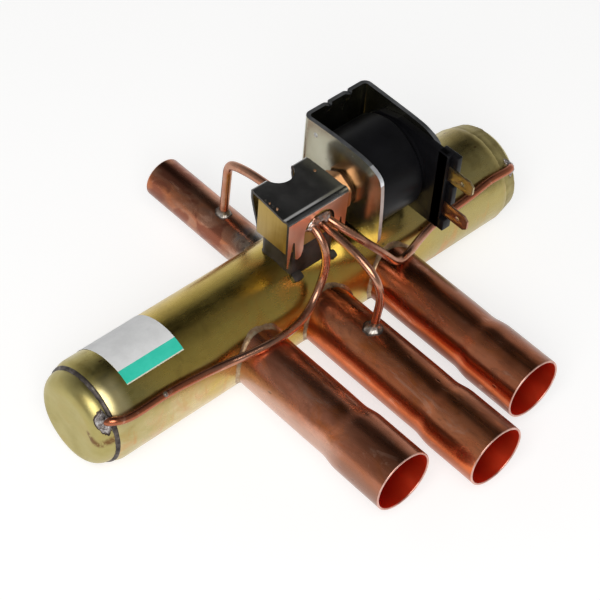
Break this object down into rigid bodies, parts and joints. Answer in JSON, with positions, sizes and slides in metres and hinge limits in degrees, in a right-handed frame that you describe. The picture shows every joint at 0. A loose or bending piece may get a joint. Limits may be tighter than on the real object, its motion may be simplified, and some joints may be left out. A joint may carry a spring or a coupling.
{
  "type": "four-way reversing valve",
  "caption": "Brass and copper four-way refrigerant reversing valve with swaged socket tubes, discharge stub, pilot valve, capillaries and solenoid coil",
  "frame": {"origin": "on the main body tube's axis at its mid-length", "axes": "+X along the main body towards the coil, +Y along the discharge stub (the three socket tubes point along -Y), +Z towards the pilot valve and coil"},
  "size_m": [0.2025, 0.1732, 0.0765],
  "materials": {
    "brass_body": "satin polished, lightly tarnished",
    "brass_cap": "dull drawn brass",
    "brass_block": "milled, matte",
    "brass_inner": "machined",
    "copper_tube": "copper, heat-tarnished",
    "copper_capillary": "copper, drawn",
    "braze": "braze fillet, matte",
    "seam_solder": "dark solder",
    "silver_solder": "silver solder, matte",
    "black_steel": "black finish",
    "plated_steel": "bright plated, smoky",
    "yoke_steel": "bright zinc plated",
    "copper_collar": "copper-coloured, machined",
    "stainless": "turned",
    "inner_steel": "stamped",
    "nylon": "moulded",
    "seal_rubber": "matte",
    "coil_black": "moulded, semi-gloss",
    "winding_copper": "enamelled wire",
    "terminal_brass": "stamped",
    "screw_steel": "zinc plated",
    "label_white": "paper-like film with a teal band"
  },
  "bodies": {
    "valve": {"body_tube": "brass_body", "end_cap_left": "brass_cap", "end_cap_right": "brass_cap", "pilot_body": "brass_block", "valve_seat": "brass_inner", "pilot_seat": "brass_inner", "socket_tube_left": "copper_tube", "socket_tube_suction": "copper_tube", "socket_tube_right": "copper_tube", "discharge_tube": "copper_tube", "capillary_left": "copper_capillary", "capillary_suction": "copper_capillary", "capillary_right": "copper_capillary", "capillary_discharge": "copper_capillary", "braze_ring_left": "braze", "braze_ring_suction": "braze", "braze_ring_right": "braze", "braze_ring_discharge": "braze", "seam_ring_left": "seam_solder", "seam_ring_right": "seam_solder", "solder_cap_left": "silver_solder", "solder_cap_right": "silver_solder", "solder_suction": "silver_solder", "solder_discharge": "silver_solder", "solder_pilot": "silver_solder", "pilot_saddle": "black_steel", "pilot_bracket": "plated_steel", "coil_yoke": "yoke_steel", "plunger_nut": "copper_collar", "plunger_tube": "stainless", "stop_plug": "stainless", "plunger_spring": "stainless", "coil_shell": "coil_black", "coil_winding": "winding_copper", "terminal_upper": "terminal_brass", "terminal_lower": "terminal_brass", "coil_screw": "screw_steel", "screw_washer": "screw_steel", "label": "label_white"},
    "spool": {"main_slide": "nylon", "slide_carrier": "inner_steel", "piston_left": "brass_inner", "piston_right": "brass_inner", "piston_seal_left": "seal_rubber", "piston_seal_right": "seal_rubber", "piston_screws": "inner_steel"},
    "plunger_set": {"plunger": "stainless", "pilot_slide": "nylon"}
  },
  "joints": [
    {"name": "spool_slide", "type": "slide", "parent": "valve", "child": "spool", "axis": [1, 0, 0], "range_m": [0, 0.0315]},
    {"name": "plunger_slide", "type": "slide", "parent": "valve", "child": "plunger_set", "axis": [1, 0, 0], "range_m": [0, 0.0034], "stiffness_N_per_m": 200, "springref_m": -0.003, "deforming": ["plunger_spring"]}
  ]
}
